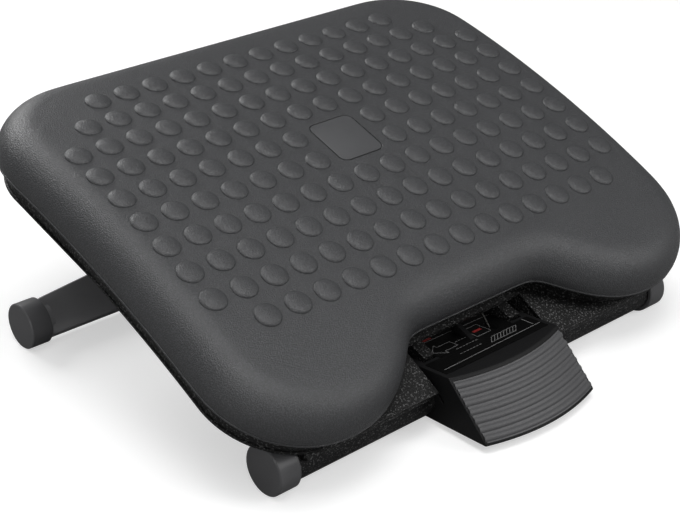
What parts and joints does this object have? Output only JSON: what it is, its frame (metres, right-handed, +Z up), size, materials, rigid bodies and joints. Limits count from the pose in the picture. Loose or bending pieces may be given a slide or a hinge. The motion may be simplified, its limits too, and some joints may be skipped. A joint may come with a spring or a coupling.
{
  "type": "adjustable footrest",
  "caption": "Bumped plastic foot platform that tilts on a front bar, with a folding rear leg, a friction lock and a ribbed release pedal.",
  "frame": {"origin": "on the floor, at the middle of the footprint's bounding box", "axes": "+X along the bars, to the right as seen from the pedal side; +Y away from the pedal; +Z up"},
  "size_m": [0.428, 0.3612, 0.1785],
  "materials": {
    "moulded_grey": "fine-grained moulding",
    "badge_grey": "smooth moulding",
    "textured_black": "coarse-textured moulding",
    "coated_steel": "textured powder coat",
    "cap_black": "satin moulding",
    "pedal_black": "satin moulding",
    "tread_grey": "ribbed moulding",
    "label_black": "smooth label",
    "plain_steel": "zinc plated",
    "white_nylon": "natural nylon",
    "brake_rubber": "moulded friction rubber"
  },
  "bodies": {
    "base": {"front_bar": "coated_steel", "front_cap_left": "cap_black", "front_cap_right": "cap_black"},
    "platform": {"platform_shell": "moulded_grey", "badge_plate": "badge_grey", "under_tray": "textured_black", "cover_screw_1": "plain_steel", "cover_screw_2": "plain_steel", "cover_screw_3": "plain_steel", "cover_screw_4": "plain_steel", "cover_screw_5": "plain_steel", "cover_screw_6": "plain_steel", "tray_screw_1": "plain_steel", "tray_screw_2": "plain_steel", "tray_screw_3": "plain_steel", "tray_screw_4": "plain_steel", "tray_screw_5": "plain_steel", "tray_screw_6": "plain_steel", "tray_screw_7": "plain_steel", "tray_screw_8": "plain_steel", "brake_screw_1": "plain_steel", "brake_screw_2": "plain_steel", "bar_clamp_left": "textured_black", "bar_clamp_right": "textured_black", "leg_bracket_left": "plain_steel", "leg_bracket_right": "plain_steel", "hinge_pin": "plain_steel", "pin_clip_left": "plain_steel", "pin_clip_right": "plain_steel", "pin_bush_left": "white_nylon", "pin_bush_right": "white_nylon", "brake_bracket": "plain_steel", "brake_pin": "plain_steel", "rod_guide": "white_nylon"},
    "rear_leg": {"leg_cross_tube": "coated_steel", "leg_arm_left": "coated_steel", "leg_arm_right": "coated_steel", "lock_drum": "plain_steel", "foot_beam": "coated_steel", "rear_cap_left": "cap_black", "rear_cap_right": "cap_black"},
    "pedal": {"pedal_body": "pedal_black", "pedal_tread": "tread_grey", "pedal_label": "label_black", "pedal_spring": "plain_steel"},
    "rod": {"release_rod": "plain_steel"},
    "lever": {"brake_lever": "plain_steel", "brake_shoe": "brake_rubber", "brake_spring": "plain_steel"}
  },
  "joints": [
    {"name": "platform_tilt", "type": "hinge", "parent": "base", "child": "platform", "pos_m": [0, -0.10901, 0.017], "axis": [1, 0, 0], "range_deg": [-12.6, 0]},
    {"name": "leg_swing", "type": "hinge", "parent": "platform", "child": "rear_leg", "pos_m": [0, 0.0454, 0.09429], "axis": [1, 0, 0], "range_deg": [0, 31.3]},
    {"name": "pedal_press", "type": "hinge", "parent": "platform", "child": "pedal", "pos_m": [0, -0.10901, 0.017], "axis": [1, 0, 0], "range_deg": [0, 5], "stiffness_Nm_per_rad": 2, "springref_deg": -8.59, "deforming": ["pedal_spring"]},
    {"name": "rod_slide", "type": "slide", "parent": "platform", "child": "rod", "axis": [0, 0.8502, 0.5265], "range_m": [-0.0032, 0]},
    {"name": "lever_lift", "type": "hinge", "parent": "platform", "child": "lever", "pos_m": [0, 0.01027, 0.10462], "axis": [1, 0, 0], "range_deg": [0, 11.9], "stiffness_Nm_per_rad": 0.2, "springref_deg": -17.19, "deforming": ["brake_spring"]}
  ],
  "couplings": [
    {"joint": "leg_swing", "follows": "platform_tilt", "ratio": -2.48},
    {"joint": "rod_slide", "follows": "pedal_press", "m_per_rad": -0.0363},
    {"joint": "lever_lift", "follows": "pedal_press", "ratio": 2.37}
  ]
}
